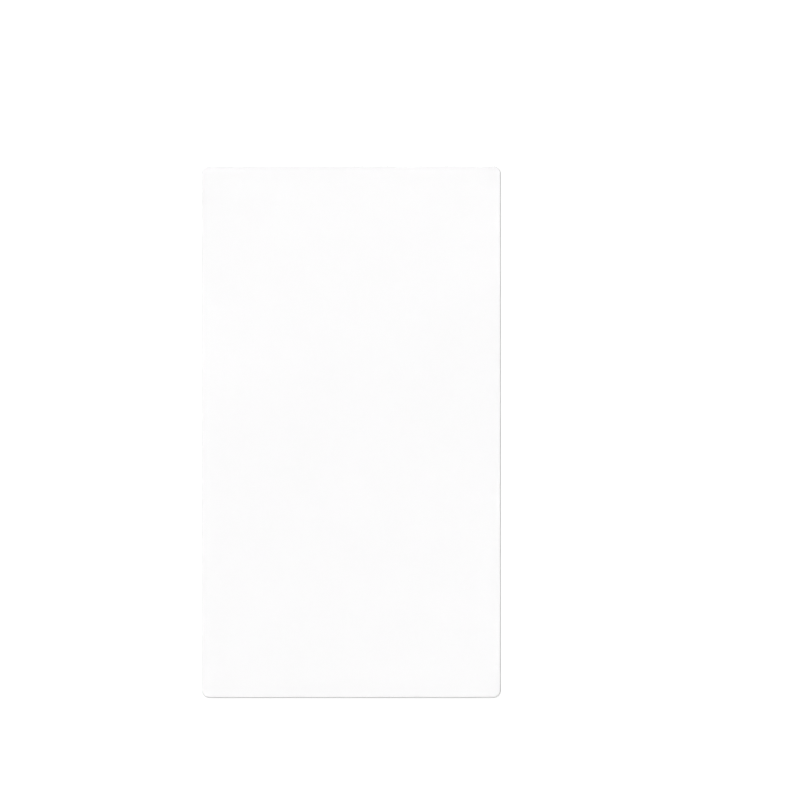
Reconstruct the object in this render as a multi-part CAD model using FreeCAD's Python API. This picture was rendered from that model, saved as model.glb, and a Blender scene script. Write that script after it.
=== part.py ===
"""Screen protector: one sheet of clear tempered glass for a 13.3 inch 16:9 display.

The sheet is cut from flat glass with rounded corners. Its rim is ground all the way round: the upper
edge curves down softly (a 2.5D edge), an upright land is left below the curve, and the sharp lower
edge is broken by a small arris.

Millimetres. The sheet lies with its adhesive face down: X across the width, Y along the length and
Z up, with the origin in the middle of the underside.
"""

import FreeCAD, Part
import math
import os

# Driving dimensions
WIDTH = 165.0  # short side of the outline
LENGTH = 293.4  # long side of the outline
THICKNESS = 0.33  # of the glass, from face to face
CORNER_RADIUS = 4.4  # of the outline, seen from above
CURVE_WIDTH = 0.65  # how far in from the outline the upper edge starts to curve down
LAND_HEIGHT = 0.10  # upright band of the rim, below the curve
ARRIS = 0.05  # 45 degree break of the lower edge

# Where the files go, and the name of the piece
PARTS_FOLDER = "parts"
SHEET_NODE = "glass_sheet"


def outline(inset):
    """The rounded rectangle that runs inside the sheet's outline at that distance, on the underside.

    It starts where the right side leaves the lower right corner, and runs anticlockwise.
    """
    radius = CORNER_RADIUS - inset
    corner_x = WIDTH / 2 - CORNER_RADIUS
    corner_y = LENGTH / 2 - CORNER_RADIUS
    # Corner centres in the order that the outline meets them, with the direction that each arc starts in
    corners = [
        (corner_x, corner_y, 0),
        (-corner_x, corner_y, 90),
        (-corner_x, -corner_y, 180),
        (corner_x, -corner_y, 270),
    ]

    def on_arc(corner, turn):
        centre_x, centre_y, start = corner
        angle = math.radians(start + turn)
        return FreeCAD.Vector(
            centre_x + radius * math.cos(angle), centre_y + radius * math.sin(angle), 0
        )

    edges = []
    for before, corner in zip([corners[-1]] + corners, corners):
        side = Part.LineSegment(on_arc(before, 90), on_arc(corner, 0))
        arc = Part.Arc(on_arc(corner, 0), on_arc(corner, 45), on_arc(corner, 90))
        edges += [side.toShape(), arc.toShape()]
    return Part.Wire(edges)


def rim_section():
    """Section of the ground rim, at the start of the outline: arris, land and a quarter ellipse.

    The curve leaves the land upright and meets the upper face level, so it has no ridge at either end.
    """
    start_y = CORNER_RADIUS - LENGTH / 2

    def point(inset, height):
        return FreeCAD.Vector(WIDTH / 2 - inset, start_y, height)

    inner_top = point(CURVE_WIDTH, THICKNESS)
    inner_foot = point(CURVE_WIDTH, 0)
    arris_inside = point(ARRIS, 0)
    land_foot = point(0, ARRIS)
    land_top = point(0, ARRIS + LAND_HEIGHT)

    # Three poles, the middle one weighted by the cosine of 45 degrees, give an exact quarter ellipse
    curve = Part.BezierCurve()
    curve.setPoles([land_top, point(0, THICKNESS), inner_top])
    curve.setWeight(2, math.cos(math.radians(45)))

    corners = [inner_top, inner_foot, arris_inside, land_foot, land_top]
    straights = [Part.LineSegment(a, b).toShape() for a, b in zip(corners, corners[1:])]
    return Part.Wire(straights + [curve.toShape()])


def glass_sheet():
    """The flat middle of the sheet, with the ground rim swept round it as one solid."""
    middle = Part.Face(outline(CURVE_WIDTH)).extrude(FreeCAD.Vector(0, 0, THICKNESS))
    rim = outline(0).makePipeShell([rim_section()], True, True)
    return middle.fuse(rim).removeSplitter()


def main():
    os.makedirs(PARTS_FOLDER, exist_ok=True)
    sheet = glass_sheet()
    sheet.exportStep(os.path.join(PARTS_FOLDER, SHEET_NODE + ".step"))
    box = sheet.BoundBox
    print(
        f"{SHEET_NODE}: {len(sheet.Solids)} solid, valid {sheet.isValid()}, {len(sheet.Faces)} faces,"
        f" {box.XLength:.3f} x {box.YLength:.3f} x {box.ZLength:.3f} mm, {sheet.Volume:.1f} mm3"
    )


main()
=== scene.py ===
# %% [markdown]
# # A screen protector of tempered glass
#
# The object is one flat sheet of clear glass, a third of a millimetre thick, with rounded corners and
# a rim that was ground to a soft curve. It lies on a white table and is seen from straight above. This
# lesson builds the sheet with Geometry Nodes, gives it two finishes, and lights it so that clear glass
# still shows on white.

# %% Load the fixed frame
import math

import bpy
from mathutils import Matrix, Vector


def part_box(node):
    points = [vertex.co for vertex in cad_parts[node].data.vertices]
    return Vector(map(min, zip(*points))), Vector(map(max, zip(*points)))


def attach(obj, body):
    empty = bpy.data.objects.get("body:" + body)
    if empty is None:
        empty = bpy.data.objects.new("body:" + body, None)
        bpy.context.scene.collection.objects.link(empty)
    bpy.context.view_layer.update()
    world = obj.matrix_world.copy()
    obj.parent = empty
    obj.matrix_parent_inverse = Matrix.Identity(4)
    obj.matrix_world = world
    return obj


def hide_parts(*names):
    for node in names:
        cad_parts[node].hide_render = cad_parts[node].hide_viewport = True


MM = 0.001

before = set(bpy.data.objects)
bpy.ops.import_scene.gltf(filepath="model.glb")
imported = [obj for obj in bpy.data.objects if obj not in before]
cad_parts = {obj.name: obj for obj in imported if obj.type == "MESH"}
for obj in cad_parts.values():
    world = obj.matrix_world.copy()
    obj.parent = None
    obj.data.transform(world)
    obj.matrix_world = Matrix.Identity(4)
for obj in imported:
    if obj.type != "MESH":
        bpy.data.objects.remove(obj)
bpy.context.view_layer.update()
low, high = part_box("glass_sheet")
sheet_width, sheet_length, sheet_thickness = high - low
print(f"sheet: {sheet_width / MM:.2f} x {sheet_length / MM:.2f} x {sheet_thickness / MM:.2f} mm")

# %% [markdown]
# ## Helpers for node trees
#
# The shape, the finishes and the light of this lesson are all node trees, so a few small helpers serve
# them all: one adds a node, one feeds a socket from a plain value or from another socket, and one adds
# a Math node.


# %% Add, feed and calculate
def add_node(tree, kind, **settings):
    """A new node of that kind in the tree, with its own properties set."""
    node = tree.nodes.new(kind)
    for name, value in settings.items():
        setattr(node, name, value)
    return node


def feed(tree, target, source):
    """Gives an input socket its source: an output socket, or a plain value."""
    if isinstance(source, bpy.types.NodeSocket):
        tree.links.new(source, target)
    else:
        target.default_value = source


def maths(tree, operation, *values):
    """The output of a Math node that works on sockets or plain numbers."""
    node = add_node(tree, "ShaderNodeMath", operation=operation)
    for target, value in zip(node.inputs, values):
        feed(tree, target, value)
    return node.outputs["Value"]


print("node helpers ready")

# %% [markdown]
# ## Groups with named sockets
#
# A group is a tree that works as one node. Its sockets are made on its interface, and inside it two
# nodes stand for them: one where the values come in and one where the result goes out.


# %% Start a group
def new_group(name, kind, inputs, outputs):
    """A node group with named sockets: the tree, its inputs inside, and the node that ends it."""
    tree = bpy.data.node_groups.new(name, kind)
    for socket_name, socket_type in inputs:
        tree.interface.new_socket(socket_name, in_out="INPUT", socket_type=socket_type)
    for socket_name, socket_type in outputs:
        tree.interface.new_socket(socket_name, in_out="OUTPUT", socket_type=socket_type)
    return tree, add_node(tree, "NodeGroupInput").outputs, add_node(tree, "NodeGroupOutput")


print("group helper ready")

# %% [markdown]
# ## Where a ring's points lie
#
# The sheet is a stack of rings. Each ring is a rounded rectangle, some way inside the outline and at
# some height. A bevel on a flat box could round the rim too, but a plain bevel takes as much off one
# face as off the other, and this curve is wider than it is deep. So every point knows its corner, from
# 0 to 3, and how far round it has turned, and one small group places it.

# %% Group that places a ring
QUARTER_TURN = math.pi / 2
RING_SIZES = ("Width", "Length", "Corner radius", "Inset", "Height")


def attribute(tree, name):
    """The number that every point keeps under that name."""
    node = add_node(tree, "GeometryNodeInputNamedAttribute", data_type="FLOAT")
    feed(tree, node.inputs["Name"], name)
    return node.outputs["Attribute"]


def ring_place_group():
    """Geometry group: a point's place on the rounded rectangle at that inset and height."""
    sizes = [(name, "NodeSocketFloat") for name in RING_SIZES]
    result = [("Position", "NodeSocketVector")]
    tree, given, end = new_group("Place on a ring", "GeometryNodeTree", sizes, result)
    radius = maths(tree, "SUBTRACT", given["Corner radius"], given["Inset"])
    corner = attribute(tree, "corner")
    diagonal = maths(tree, "MULTIPLY_ADD", corner, QUARTER_TURN, QUARTER_TURN / 2)

    def along(side, wave):
        """The way out to the corner's own centre, and from there round its arc, along one axis."""
        half_side = maths(tree, "DIVIDE", given[side], 2.0)
        reach = maths(tree, "SUBTRACT", half_side, given["Corner radius"])
        outward = maths(tree, "SIGN", maths(tree, wave, diagonal))
        round_arc = maths(tree, "MULTIPLY", maths(tree, wave, attribute(tree, "turn")), radius)
        return maths(tree, "MULTIPLY_ADD", outward, reach, round_arc)

    place = add_node(tree, "ShaderNodeCombineXYZ")
    feed(tree, place.inputs["X"], along("Width", "COSINE"))
    feed(tree, place.inputs["Y"], along("Length", "SINE"))
    feed(tree, place.inputs["Z"], given["Height"])
    feed(tree, end.inputs["Position"], place.outputs["Vector"])
    return tree


RING_PLACE = ring_place_group()
print("group:", RING_PLACE.name, "takes", ", ".join(RING_SIZES))

# %% [markdown]
# ## The sheet's tree and its sizes
#
# Sheets like this one are cut for many screens and differ mostly in their sizes. So every size is a
# named input of one tree, with the finish of the faces and of the rim, and another sheet needs only
# other numbers.

# %% Start the sheet's tree
SHEET_OUTLINE = ("Width", "Length", "Corner radius")
SHEET_SECTION = ("Thickness", "Curve width", "Land height", "Arris")
SHEET_COUNTS = ("Corner points", "Curve steps")
SHEET_FINISHES = ("Face finish", "Rim finish")

sheet_inputs = [(name, "NodeSocketFloat") for name in SHEET_OUTLINE + SHEET_SECTION]
sheet_inputs += [(name, "NodeSocketInt") for name in SHEET_COUNTS]
sheet_inputs += [(name, "NodeSocketMaterial") for name in SHEET_FINISHES]
sheet_outputs = [("Geometry", "NodeSocketGeometry")]
sheet_tree, sheet_given, sheet_end = new_group(
    "Glass sheet", "GeometryNodeTree", sheet_inputs, sheet_outputs
)
print("tree:", sheet_tree.name, "with", len(sheet_inputs), "inputs")

# %% [markdown]
# ## The blank
#
# A real sheet starts as a blank that is scored and snapped out of flat glass. Here the blank is a disc
# with one face, and its points are shared out between the four corners. A filled curve would do as
# well, but a disc is a single node that takes its number of points as an input. Its own shape doesn't
# matter, because every point is about to be placed by its corner and its turn.

# %% Blank with marked points
CORNERS = 4


def stored(tree, geometry, name, value):
    """The geometry with that value kept on its points."""
    store = add_node(tree, "GeometryNodeStoreNamedAttribute", data_type="FLOAT", domain="POINT")
    feed(tree, store.inputs["Geometry"], geometry)
    feed(tree, store.inputs["Name"], name)
    feed(tree, store.inputs["Value"], value)
    return store.outputs["Geometry"]


def marked_blank(tree, corner_points):
    """A disc with one face, whose points know their corner and their turn."""
    disc = add_node(tree, "GeometryNodeMeshCircle", fill_type="NGON")
    feed(tree, disc.inputs["Vertices"], maths(tree, "MULTIPLY", corner_points, CORNERS))
    number = add_node(tree, "GeometryNodeInputIndex").outputs["Index"]
    corner = maths(tree, "FLOOR", maths(tree, "DIVIDE", number, corner_points))
    step = maths(tree, "MODULO", number, corner_points)
    share = maths(tree, "DIVIDE", step, maths(tree, "SUBTRACT", corner_points, 1))
    turn = maths(tree, "MULTIPLY", maths(tree, "ADD", corner, share), QUARTER_TURN)
    return stored(tree, stored(tree, disc.outputs["Mesh"], "corner", corner), "turn", turn)


blank = marked_blank(sheet_tree, sheet_given["Corner points"])
print("blank: points shared out between", CORNERS, "corners")

# %% [markdown]
# ## Place a face, and raise it
#
# Two moves make the whole solid. One places a flat face on a ring. The other extrudes it, which leaves
# a band of four-cornered faces below, and then places it on the next ring. Faces could be filled in
# between finished rings instead, but then their points would have to be paired. The flat face is always
# the one with more than four corners, so the tree can find it again after each move.

# %% Place and raise
BAND_FACE_CORNERS = 4


def flat_faces(tree):
    """True on the faces with more corners than a band's, which are the two flat ones."""
    corners = add_node(tree, "GeometryNodeInputMeshFaceNeighbors").outputs["Vertex Count"]
    return maths(tree, "GREATER_THAN", corners, BAND_FACE_CORNERS)


def placed(tree, geometry, inset, height):
    """The flat face moved to the ring at that inset and height."""
    ring = add_node(tree, "GeometryNodeGroup", node_tree=RING_PLACE)
    for name in SHEET_OUTLINE:
        feed(tree, ring.inputs[name], sheet_given[name])
    feed(tree, ring.inputs["Inset"], inset)
    feed(tree, ring.inputs["Height"], height)
    move = add_node(tree, "GeometryNodeSetPosition")
    feed(tree, move.inputs["Geometry"], geometry)
    feed(tree, move.inputs["Selection"], flat_faces(tree))
    feed(tree, move.inputs["Position"], ring.outputs["Position"])
    return move.outputs["Geometry"]


def raised(tree, geometry, inset, height):
    """The flat face lifted to the next ring, with a band of faces below it."""
    extrude = add_node(tree, "GeometryNodeExtrudeMesh", mode="FACES")
    feed(tree, extrude.inputs["Mesh"], geometry)
    feed(tree, extrude.inputs["Selection"], flat_faces(tree))
    feed(tree, extrude.inputs["Offset Scale"], 0.0)
    return placed(tree, extrude.outputs["Mesh"], inset, height)


print("moves ready: placed, raised")

# %% [markdown]
# ## Up the foot of the rim
#
# A wheel first breaks the sharp lower edge, which is the arris, and leaves an upright band above it,
# the land. The underside lies inside the arris, and two moves bring the face out over the arris and up
# the land.

# %% Underside, arris and land
underside = placed(sheet_tree, blank, sheet_given["Arris"], 0.0)
over_arris = raised(sheet_tree, underside, 0.0, sheet_given["Arris"])
land_top = maths(sheet_tree, "ADD", sheet_given["Arris"], sheet_given["Land height"])
foot = raised(sheet_tree, over_arris, 0.0, land_top)
print("foot of the rim: underside, arris, land")

# %% [markdown]
# ## Round the curve
#
# From the land to the upper face the rim follows a quarter ellipse, upright where it leaves the land
# and level where it meets the face. A chain of raised faces would do, but its length would be fixed. A
# Repeat Zone raises the face once for each step, at even turns of the ellipse, and takes the number of
# steps as an input.


# %% Quarter ellipse
def curved(tree, geometry, steps):
    """The flat face raised from the top of the land to the upper face, along the curve."""
    start = add_node(tree, "GeometryNodeRepeatInput")
    finish = add_node(tree, "GeometryNodeRepeatOutput")
    start.pair_with_output(finish)
    feed(tree, start.inputs["Iterations"], steps)
    feed(tree, start.inputs["Geometry"], geometry)
    done = maths(tree, "ADD", start.outputs["Iteration"], 1)
    angle = maths(tree, "MULTIPLY", maths(tree, "DIVIDE", done, steps), QUARTER_TURN)
    inset_share = maths(tree, "SUBTRACT", 1.0, maths(tree, "COSINE", angle))
    inset = maths(tree, "MULTIPLY", sheet_given["Curve width"], inset_share)
    curve_height = maths(tree, "SUBTRACT", sheet_given["Thickness"], land_top)
    height = maths(tree, "MULTIPLY_ADD", curve_height, maths(tree, "SINE", angle), land_top)
    higher = raised(tree, start.outputs["Geometry"], inset, height)
    feed(tree, finish.inputs["Geometry"], higher)
    return finish.outputs["Geometry"]


open_sheet = curved(sheet_tree, foot, sheet_given["Curve steps"])
print("curve: a repeat zone up to the upper face")

# %% [markdown]
# ## Close the underside
#
# Extruding lifts the face away and leaves the underside open. The first face is still at hand, so a
# flipped copy of it closes the sheet, and the points that now lie on each other are merged.

# %% Underside turned down and welded
WELD = 0.0001 * MM


def closed(tree, geometry, cap):
    """The open sheet with its first face, turned over, welded in below."""
    flip = add_node(tree, "GeometryNodeFlipFaces")
    feed(tree, flip.inputs["Mesh"], cap)
    join = add_node(tree, "GeometryNodeJoinGeometry")
    feed(tree, join.inputs["Geometry"], geometry)
    feed(tree, join.inputs["Geometry"], flip.outputs["Mesh"])
    weld = add_node(tree, "GeometryNodeMergeByDistance")
    feed(tree, weld.inputs["Geometry"], join.outputs["Geometry"])
    feed(tree, weld.inputs["Distance"], WELD)
    return weld.outputs["Geometry"]


whole_sheet = closed(sheet_tree, open_sheet, underside)
print(f"sheet closed, points within {WELD / MM:.4f} mm merged")

# %% [markdown]
# ## Smooth and crisp
#
# The curve of the rim is shaded smooth, and both flat faces stay flat. The arris keeps its crisp edges,
# so every edge that bends by more than a set angle is left sharp.

# %% Shading
CRISP_ANGLE = math.radians(30)


def shaded(tree, geometry):
    """The sheet with a smooth rim, flat faces and crisp edges."""
    smooth = add_node(tree, "GeometryNodeSetShadeSmooth", domain="FACE")
    feed(tree, smooth.inputs["Geometry"], geometry)
    feed(tree, smooth.inputs["Shade Smooth"], maths(tree, "SUBTRACT", 1.0, flat_faces(tree)))
    bend = add_node(tree, "GeometryNodeInputMeshEdgeAngle").outputs["Unsigned Angle"]
    crisp = add_node(tree, "GeometryNodeSetShadeSmooth", domain="EDGE")
    feed(tree, crisp.inputs["Geometry"], smooth.outputs["Geometry"])
    feed(tree, crisp.inputs["Selection"], maths(tree, "GREATER_THAN", bend, CRISP_ANGLE))
    feed(tree, crisp.inputs["Shade Smooth"], False)
    return crisp.outputs["Geometry"]


shaded_sheet = shaded(sheet_tree, whole_sheet)
print("edges crisp above", round(math.degrees(CRISP_ANGLE)), "degrees")

# %% [markdown]
# ## Finishes on their faces
#
# On the real sheet the two faces keep the polish of the flat glass, and the rim keeps the marks of the
# wheel. Faces could be given their finish by hand, but the tree already knows the flat ones by their
# corners. It ends by making its result real, and by setting the rim's finish all over and then the
# faces' own on the flat ones.


# %% Two finishes
def finished(tree, geometry):
    """The sheet made real, with one finish on its rim and another on its flat faces."""
    real = add_node(tree, "GeometryNodeRealizeInstances")
    feed(tree, real.inputs["Geometry"], geometry)
    ground = add_node(tree, "GeometryNodeSetMaterial")
    feed(tree, ground.inputs["Geometry"], real.outputs["Geometry"])
    feed(tree, ground.inputs["Material"], sheet_given["Rim finish"])
    polished = add_node(tree, "GeometryNodeSetMaterial")
    feed(tree, polished.inputs["Geometry"], ground.outputs["Geometry"])
    feed(tree, polished.inputs["Selection"], flat_faces(tree))
    feed(tree, polished.inputs["Material"], sheet_given["Face finish"])
    return polished.outputs["Geometry"]


feed(sheet_tree, sheet_end.inputs["Geometry"], finished(sheet_tree, shaded_sheet))
print("tree:", len(sheet_tree.nodes), "nodes")

# %% [markdown]
# ## A patchy value for both finishes
#
# No real surface is even. The polished faces keep faint marks from wiping, and the ground rim is
# grainy. Both are a noise that is spread between two limits, so it is one node group, used with its own
# scale and limits each time.

# %% Patchy value group
NOISE_DETAIL = 3.0
NOISE_DARK, NOISE_LIGHT = 0.3, 0.7


def patchy_value_group():
    """Shader group: a noise in the object's own space, spread between two limits."""
    inputs = [(name, "NodeSocketFloat") for name in ("Scale", "Low", "High")]
    result = [("Value", "NodeSocketFloat")]
    tree, given, end = new_group("Patchy value", "ShaderNodeTree", inputs, result)
    place = add_node(tree, "ShaderNodeTexCoord")
    noise = add_node(tree, "ShaderNodeTexNoise")
    feed(tree, noise.inputs["Vector"], place.outputs["Object"])
    feed(tree, noise.inputs["Scale"], given["Scale"])
    feed(tree, noise.inputs["Detail"], NOISE_DETAIL)
    spread = add_node(tree, "ShaderNodeMapRange")
    feed(tree, spread.inputs["Value"], noise.outputs["Fac"])
    feed(tree, spread.inputs["From Min"], NOISE_DARK)
    feed(tree, spread.inputs["From Max"], NOISE_LIGHT)
    feed(tree, spread.inputs["To Min"], given["Low"])
    feed(tree, spread.inputs["To Max"], given["High"])
    feed(tree, end.inputs["Value"], spread.outputs["Result"])
    return tree


PATCHY_VALUE = patchy_value_group()


def patchy(tree, scale, lowest, highest):
    """The output of a Patchy value node with its own scale and limits."""
    node = add_node(tree, "ShaderNodeGroup", node_tree=PATCHY_VALUE)
    feed(tree, node.inputs["Scale"], scale)
    feed(tree, node.inputs["Low"], lowest)
    feed(tree, node.inputs["High"], highest)
    return node.outputs["Value"]


print("group:", PATCHY_VALUE.name)

# %% [markdown]
# ## Polished glass
#
# The two faces are polished, so what lies behind them stays sharp. A see-through mix of Transparent and
# Glossy would be quicker to render, but a Principled shader with full transmission bends and mirrors
# light as glass does. It lets a trace less green through, as a coated pane does. Its roughness is
# nearly nothing and rises a little where wiping has left faint marks.

# %% Material of the faces
GLASS_IOR = 1.51
GLASS_TINT = (0.995, 0.991, 0.995, 1.0)
WIPE_SCALE = 35.0
WIPE_ROUGHNESS = 0.012


def new_material(name):
    """A material with a Principled shader: the material, its tree and the shader."""
    material = bpy.data.materials.new(name)
    material.use_nodes = True
    tree = material.node_tree
    return material, tree, tree.nodes["Principled BSDF"]


def polished_glass():
    """Material: clear glass with faint wipe marks."""
    material, tree, shader = new_material("polished_glass")
    shader.inputs["Base Color"].default_value = GLASS_TINT
    shader.inputs["IOR"].default_value = GLASS_IOR
    shader.inputs["Transmission Weight"].default_value = 1.0
    feed(tree, shader.inputs["Roughness"], patchy(tree, WIPE_SCALE, 0.0, WIPE_ROUGHNESS))
    return material


POLISHED_GLASS = polished_glass()
print("material:", POLISHED_GLASS.name)

# %% [markdown]
# ## Sizes of the rim
#
# The outline and the thickness come from the frame. The rim's own sizes are written here, in real
# millimetres.

# %% Rim sizes
CORNER_RADIUS = 4.4 * MM
CURVE_WIDTH = 0.65 * MM
LAND_HEIGHT = 0.10 * MM
ARRIS = 0.05 * MM

curve_depth = sheet_thickness - ARRIS - LAND_HEIGHT
print(f"curve: {CURVE_WIDTH / MM:.2f} mm wide, {curve_depth / MM:.2f} mm deep")

# %% [markdown]
# ## How deep the painted shade on the rim is
#
# The wheel cuts deepest at the foot of the rim, and the curve is finished finer the nearer it comes to
# the upper face. The tone that this mask sets is painted shade: it darkens the rim towards its foot, for
# the dark line that a glass edge shows by refraction and shadow. It follows the height: full on the
# land, and gone at the top of the curve. Height comes straight from Object coordinates, so no mask has
# to be painted.


# %% Painted shade by height
def painted_rim_shade(tree):
    """Painted shade on the rim: 1 on the land and the arris, falling to 0 where the curve meets the
    upper face.
    """
    place = add_node(tree, "ShaderNodeTexCoord")
    split = add_node(tree, "ShaderNodeSeparateXYZ")
    feed(tree, split.inputs["Vector"], place.outputs["Object"])
    depth = add_node(tree, "ShaderNodeMapRange")
    feed(tree, depth.inputs["Value"], split.outputs["Z"])
    feed(tree, depth.inputs["From Min"], high.z - curve_depth)
    feed(tree, depth.inputs["From Max"], high.z)
    feed(tree, depth.inputs["To Min"], 1.0)
    feed(tree, depth.inputs["To Max"], 0.0)
    return depth.outputs["Result"]


print("frosting: from the land's top to the upper face")

# %% [markdown]
# ## Ground rim
#
# Ground glass scatters light like a pale solid, so the rim turns grey where it faces away from the
# light and white where it faces it. That is what draws the sheet's outline. Rough glass that lets light
# through would do too, but so thin a line takes many samples to come out clean. The land is painted far
# darker than the curve: painted shade for the dark line that a glass edge shows by refraction and
# shadow.
# A fine grain breaks up its tone, gloss and surface.

# %% Material of the rim
GRAIN_SCALE = 6000.0
GRAIN_TONE = 0.04
GRAIN_DEPTH = 0.002 * MM
# The rim's colour runs from the curve's pale tone to the land's dark one: painted shade for the dark
# line of a glass edge.
CURVE_TONE = 0.97
LAND_SHADE_TONE = 0.21
RIM_GLOSS_LOW, RIM_GLOSS_HIGH = 0.4, 0.6


def grey(tone):
    """The neutral colour of that tone."""
    return (tone, tone, tone, 1.0)


def ground_rim():
    """Material: ground glass, pale at the top of the curve, with painted shade making it dark on the
    land.
    """
    material, tree, shader = new_material("ground_rim")
    tone = add_node(tree, "ShaderNodeValToRGB")
    tone.color_ramp.elements[0].color = grey(CURVE_TONE)
    tone.color_ramp.elements[1].color = grey(LAND_SHADE_TONE)
    grain = patchy(tree, GRAIN_SCALE, -GRAIN_TONE, GRAIN_TONE)
    # Painted shade: the ramp darkens the rim towards its foot, and the grain adds random tone.
    feed(tree, tone.inputs["Fac"], maths(tree, "ADD", painted_rim_shade(tree), grain))
    feed(tree, shader.inputs["Base Color"], tone.outputs["Color"])
    gloss = patchy(tree, GRAIN_SCALE, RIM_GLOSS_LOW, RIM_GLOSS_HIGH)
    feed(tree, shader.inputs["Roughness"], gloss)
    bump = add_node(tree, "ShaderNodeBump")
    feed(tree, bump.inputs["Distance"], GRAIN_DEPTH)
    feed(tree, bump.inputs["Height"], patchy(tree, GRAIN_SCALE, 0.0, 1.0))
    feed(tree, shader.inputs["Normal"], bump.outputs["Normal"])
    shader.inputs["IOR"].default_value = GLASS_IOR
    return material


GROUND_RIM = ground_rim()
print("material:", GROUND_RIM.name)

# %% [markdown]
# ## Run the tree
#
# The sizes go into the modifier by each socket's identifier, before it is first evaluated. The result
# is then turned into a plain mesh, and the modifier goes. The disc that the tree starts from brings an
# empty material slot, which no face wears in the end, so that goes too.

# %% Sizes in, mesh out
SHEET_VALUES = {
    "Width": sheet_width,
    "Length": sheet_length,
    "Corner radius": CORNER_RADIUS,
    "Thickness": sheet_thickness,
    "Curve width": CURVE_WIDTH,
    "Land height": LAND_HEIGHT,
    "Arris": ARRIS,
    "Corner points": 25,
    "Curve steps": 16,
    "Face finish": POLISHED_GLASS,
    "Rim finish": GROUND_RIM,
}


def new_object(name, data):
    """An object of that name with its data, linked into the scene."""
    made = bpy.data.objects.new(name, data)
    bpy.context.scene.collection.objects.link(made)
    return made


def made_by_tree(name, tree, values):
    """A plain mesh object made by a geometry tree with these inputs."""
    piece = new_object(name, bpy.data.meshes.new(name))
    modifier = piece.modifiers.new(tree.name, "NODES")
    modifier.node_group = tree
    for socket in tree.interface.items_tree:
        if socket.in_out == "INPUT":
            modifier[socket.identifier] = values[socket.name]
    evaluated = piece.evaluated_get(bpy.context.evaluated_depsgraph_get())
    mesh = bpy.data.meshes.new_from_object(evaluated)
    piece.modifiers.remove(modifier)
    mesh.materials.pop(index=mesh.materials[:].index(None))
    piece.data = mesh
    return piece


clear_sheet = made_by_tree("clear_sheet", sheet_tree, SHEET_VALUES)
print("sheet mesh:", len(clear_sheet.data.vertices), "points,", len(clear_sheet.data.polygons), "faces")
print("finishes:", ", ".join(material.name for material in clear_sheet.data.materials))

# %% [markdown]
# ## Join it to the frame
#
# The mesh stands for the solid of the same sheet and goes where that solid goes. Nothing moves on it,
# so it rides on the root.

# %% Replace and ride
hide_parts("glass_sheet")
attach(clear_sheet, "root")
print("clear_sheet rides on root")

# %% [markdown]
# ## White for the eye only
#
# A white table needs to come out white in the picture without more light on the sheet. The Light Path
# node can tell what a ray is for, so a material can add white for what the camera sees, straight,
# mirrored or through glass, and nothing for the light that the table throws back.

# %% Rays that reach the eye
EYE_RAYS = ("Is Camera Ray", "Is Glossy Ray", "Is Transmission Ray")
FIRST_MATT_BOUNCE = 1.0


def seen_rays(tree, kinds):
    """1 for those kinds of ray, as long as they have met no matt surface, and 0 for the rest."""
    path = add_node(tree, "ShaderNodeLightPath")
    seen = path.outputs[kinds[0]]
    for kind in kinds[1:]:
        seen = maths(tree, "MAXIMUM", seen, path.outputs[kind])
    unscattered = maths(tree, "LESS_THAN", path.outputs["Diffuse Depth"], FIRST_MATT_BOUNCE)
    return maths(tree, "MULTIPLY", seen, unscattered)


print("rays that reach the eye:", ", ".join(EYE_RAYS))

# %% [markdown]
# ## The table
#
# A plain white table, a hair below the sheet so that no two faces share a plane. It is matt, so it
# takes the thin shadow of the rim. One big face is enough, because what lies beyond it is white too.

# %% Table top
TABLE_SIZE = 12.0
TABLE_GAP = 0.01 * MM
TABLE_WHITE = 0.30  # tone of the paint, which takes light and shadow
TABLE_LIFT = 0.82  # white that only the eye sees


def table_white():
    """Material: matt paint, with some white of its own for the eye."""
    material, tree, shader = new_material("table_white")
    tree.nodes.remove(shader)
    paint = add_node(tree, "ShaderNodeBsdfDiffuse")
    paint.inputs["Color"].default_value = grey(TABLE_WHITE)
    lift = add_node(tree, "ShaderNodeEmission")
    strength = maths(tree, "MULTIPLY", seen_rays(tree, EYE_RAYS), TABLE_LIFT)
    feed(tree, lift.inputs["Strength"], strength)
    both = add_node(tree, "ShaderNodeAddShader")
    feed(tree, both.inputs[0], paint.outputs["BSDF"])
    feed(tree, both.inputs[1], lift.outputs["Emission"])
    feed(tree, tree.nodes["Material Output"].inputs["Surface"], both.outputs["Shader"])
    return material


def table_top():
    """One square face, just below the sheet's underside."""
    half = TABLE_SIZE / 2
    corners = [(-half, -half), (half, -half), (half, half), (-half, half)]
    top = bpy.data.meshes.new("table_top")
    top.from_pydata([(x, y, low.z - TABLE_GAP) for x, y in corners], [], [(0, 1, 2, 3)])
    top.materials.append(table_white())
    return new_object("table_top", top)


table = table_top()
print("table at", round(table.data.vertices[0].co.z / MM, 3), "mm")

# %% [markdown]
# ## The studio
#
# The sheet lies in a tent with one broad soft light beyond its upper left corner. Lamps would reach the
# table under the glass only by chance, which is noisy, so the whole studio is the world itself, and
# each part of it is a number that depends on the direction. Two measures are enough for that: how far a
# direction goes to some side, which is a dot product, and a soft step where that passes from one value
# to another.


# %% Directions, sides and steps
def way_to(azimuth, elevation):
    """The direction at that azimuth and elevation, in degrees."""
    turn = math.radians(azimuth)
    rise = math.radians(elevation)
    level = math.cos(rise)
    return Vector((math.cos(turn) * level, math.sin(turn) * level, math.sin(rise)))


def height_at(elevation):
    """How far up a direction goes, from 0 to 1, at that elevation in degrees."""
    return math.sin(math.radians(elevation))


def towards(tree, way, side):
    """How far each direction goes to that side, from -1 to 1."""
    node = add_node(tree, "ShaderNodeVectorMath", operation="DOT_PRODUCT")
    feed(tree, node.inputs[0], way)
    feed(tree, node.inputs[1], side)
    return node.outputs["Value"]


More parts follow.
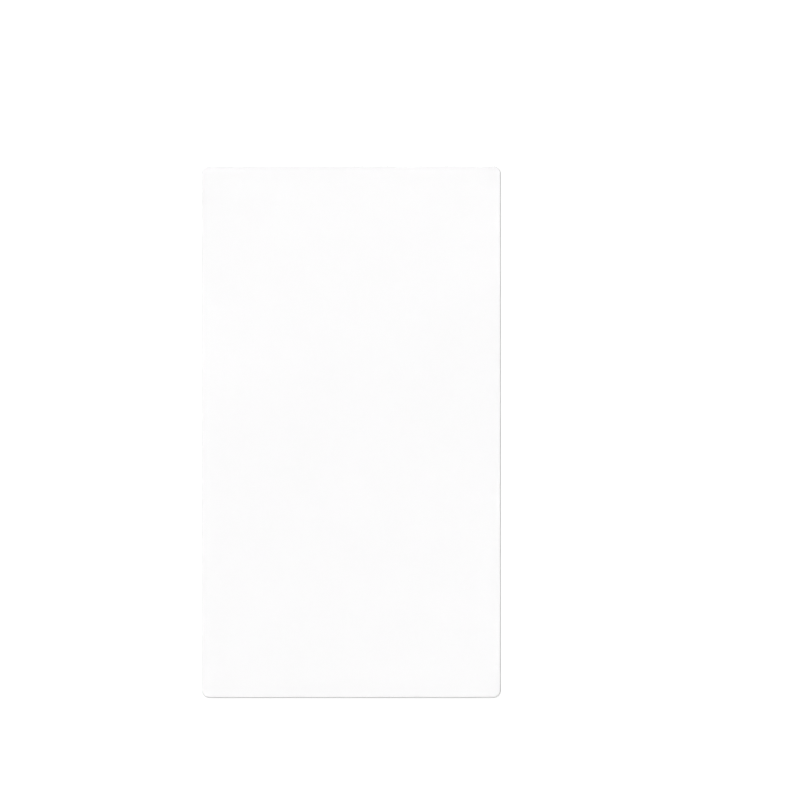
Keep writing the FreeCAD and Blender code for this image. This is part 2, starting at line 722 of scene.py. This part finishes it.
def step_between(tree, value, start, end):
    """A soft step from 0 at the start to 1 at the end."""
    node = add_node(tree, "ShaderNodeMapRange", interpolation_type="SMOOTHSTEP")
    feed(tree, node.inputs["Value"], value)
    feed(tree, node.inputs["From Min"], start)
    feed(tree, node.inputs["From Max"], end)
    return node.outputs["Result"]


UP = way_to(azimuth=0, elevation=90)
print("straight up is", [round(x, 3) for x in UP])

# %% [markdown]
# ## The soft light
#
# One broad light stands low beyond the upper left corner, and it draws the rim: pale where the rim
# faces it and grey where it faces away. A lamp would have a hard outline. Here the brightness is a power
# of how far a direction goes to the light's side, so it fades all round, as behind a diffuser. It ends
# below the ceiling, which keeps the light slanting.

# %% Soft light
KEY_SIDE = way_to(azimuth=129, elevation=16)
KEY_SPREAD = 10.0  # the higher, the narrower
KEY_FULL = height_at(elevation=50)  # where it starts to fade
KEY_TOP = height_at(elevation=72)  # where it has gone


def soft_light(tree, way, up):
    """1 in the middle of the soft light, fading to 0 all round it and below the ceiling."""
    facing = maths(tree, "MAXIMUM", towards(tree, way, KEY_SIDE), 0.0)
    lobe = maths(tree, "POWER", facing, KEY_SPREAD)
    return maths(tree, "MULTIPLY", lobe, step_between(tree, up, KEY_TOP, KEY_FULL))


print("soft light comes from", [round(x, 3) for x in KEY_SIDE])

# %% [markdown]
# ## The tent overhead
#
# A clear pane shows by what it mirrors, so the tent gives it something to mirror: two ceiling panels,
# one paler than the other, that meet overhead in a slanting line, and a pale band that arches over one
# side. A photographed studio could stand there instead, but two soft steps on a dim fill are enough.

# %% Panels and band
FILL_STRENGTH = 0.08
PANEL_SIDE = way_to(azimuth=115.1, elevation=-1.9)
PANEL_BLUR = 0.004  # half the width of the step from one panel to the other
PANEL_STRENGTH = 0.12
BAND_SIDE = way_to(azimuth=40, elevation=45)
BAND_PLACE = 0.25  # how far the middle of the band goes to its side
BAND_FULL = 0.030  # how far from its middle it starts to fade
BAND_EDGE = 0.045  # how far from its middle it has gone
BAND_STRENGTH = 0.45


def tent_overhead(tree, way):
    """The tent's brightness: the fill, the paler panel and the band."""
    panel = step_between(tree, towards(tree, way, PANEL_SIDE), -PANEL_BLUR, PANEL_BLUR)
    ceiling = maths(tree, "MULTIPLY_ADD", panel, PANEL_STRENGTH, FILL_STRENGTH)
    across_band = maths(tree, "SUBTRACT", towards(tree, way, BAND_SIDE), BAND_PLACE)
    off_band = maths(tree, "ABSOLUTE", across_band)
    band = step_between(tree, off_band, BAND_EDGE, BAND_FULL)
    return maths(tree, "MULTIPLY_ADD", band, BAND_STRENGTH, ceiling)


print("paler panel lies towards", [round(x, 3) for x in PANEL_SIDE])

# %% [markdown]
# ## White walls
#
# Near the horizon stand white walls, so a pane that is seen from low down turns white, as it does in a
# bright room. The camera itself sees them all the way up, so the background is white from every side.
# They are for the eye only and throw no light on the sheet.

# %% Walls
WALL_FULL = height_at(elevation=3)  # where they start to fade into the tent
WALL_TOP = height_at(elevation=28)  # where only the tent is left
WALL_STRENGTH = 1.0


def white_walls(tree, up, seen):
    """1 where the eye meets a white wall, and 0 where it meets the tent."""
    near_horizon = step_between(tree, up, WALL_TOP, WALL_FULL)
    white = maths(tree, "MAXIMUM", near_horizon, seen_rays(tree, ["Is Camera Ray"]))
    return maths(tree, "MULTIPLY", white, seen)


print(f"walls: white at the horizon, gone at a height of {WALL_TOP:.3f}")

# %% [markdown]
# ## Light the studio
#
# The parts are added up so that a level matt surface gets as much light as its own colour says: a grey
# of one half comes out as one half. The soft light is kept out of what the eye sees, as a photographer
# hides a lamp from a pane with a flag: else the sheet would mirror it from the near side, all white,
# and vanish on the table. Filter Glossy is off, because it blurs the light that passes through clear
# glass and would leave the table under the sheet dark.

# %% World
KEY_STRENGTH = 16.7
WHITE = grey(1.0)


def studio_world():
    """World: the soft light, the tent overhead and the white walls."""
    world = bpy.data.worlds.new("studio")
    world.use_nodes = True
    tree = world.node_tree
    way = add_node(tree, "ShaderNodeTexCoord").outputs["Generated"]
    up = towards(tree, way, UP)
    seen = seen_rays(tree, EYE_RAYS)
    unseen = maths(tree, "SUBTRACT", 1.0, seen)
    glow = maths(tree, "MULTIPLY", soft_light(tree, way, up), unseen)
    tent = tent_overhead(tree, way)
    wall_for_tent = maths(tree, "SUBTRACT", WALL_STRENGTH, tent)
    shell = maths(tree, "MULTIPLY_ADD", white_walls(tree, up, seen), wall_for_tent, tent)
    light = tree.nodes["Background"]
    light.inputs["Color"].default_value = WHITE
    feed(tree, light.inputs["Strength"], maths(tree, "MULTIPLY_ADD", glow, KEY_STRENGTH, shell))
    return world


bpy.context.scene.world = studio_world()
bpy.context.scene.cycles.blur_glossy = 0.0
print("world:", bpy.context.scene.world.name)

# %% [markdown]
# ## Camera
#
# The view is straight down. The sheet's edges in the picture are known, so the scale follows from its
# two sides, and the camera stands over the middle of the picture, a little to one side of the sheet's
# own middle.

# %% Straight down
FRAME_PX = 800
LEFT_PX, RIGHT_PX = 201.69, 500.69
TOP_PX, BOTTOM_PX = 165.93, 698.03
LENS_MM = 85.0
SENSOR_MM = 36.0


def top_camera():
    """Camera over the middle of the picture, as high as the sheet's size in pixels asks."""
    sides_px = RIGHT_PX - LEFT_PX + BOTTOM_PX - TOP_PX
    metres_per_px = (sheet_width + sheet_length) / sides_px
    data = bpy.data.cameras.new("top_camera")
    data.lens = LENS_MM
    data.sensor_width = SENSOR_MM
    camera = new_object("top_camera", data)
    middle = (low + high) / 2
    aside = (FRAME_PX - LEFT_PX - RIGHT_PX) / 2 * metres_per_px
    above = (TOP_PX + BOTTOM_PX - FRAME_PX) / 2 * metres_per_px
    distance = FRAME_PX * metres_per_px * LENS_MM / SENSOR_MM
    camera.location = (middle.x + aside, middle.y + above, high.z + distance)
    return camera


bpy.context.scene.camera = top_camera()
bpy.context.scene.view_settings.view_transform = "Standard"
print("camera at", [round(x, 4) for x in bpy.context.scene.camera.location])
